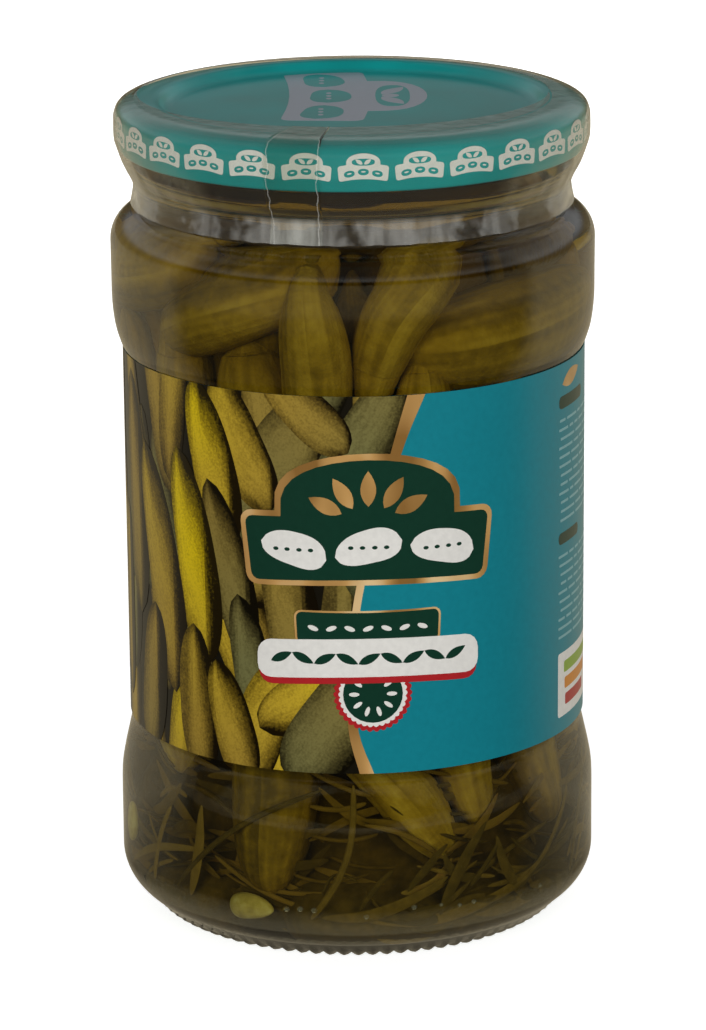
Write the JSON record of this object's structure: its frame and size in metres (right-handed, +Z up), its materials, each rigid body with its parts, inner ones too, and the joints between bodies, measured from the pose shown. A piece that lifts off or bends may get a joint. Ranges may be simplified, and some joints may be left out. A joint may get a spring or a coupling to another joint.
{
  "type": "pickle jar",
  "caption": "Tall glass jar of pickled cucumbers with a teal twist-off lid, a clear shrink band and a plain printed wrap label.",
  "frame": {"origin": "centre of the base ring, on the surface that the jar stands on", "axes": "+Z up along the jar's axis; the pictured side of the label faces -Y; +X to the right of it"},
  "size_m": [0.0892, 0.0892, 0.1535],
  "materials": {
    "clear_glass": "clear, slightly green soda-lime glass",
    "lid_lacquer": "glossy teal lacquer on tinplate",
    "clear_film": "clear crinkled shrink film, milky at its edges",
    "label_print": "semi-gloss printed wrap in teal, dark green and gold",
    "cucumber": "wet olive cucumber skin with lengthwise streaks",
    "herb": "soaked brown-olive stems and leaves",
    "garlic": "soaked pale yellow clove"
  },
  "bodies": {
    "root": {"glass_jar": "clear_glass", "lid": "lid_lacquer", "shrink_band": "clear_film", "label": "label_print", "pickle_heap": "cucumber", "herb_bed": "herb", "garlic_clove_front": "garlic", "garlic_clove_side": "garlic"}
  },
  "joints": []
}
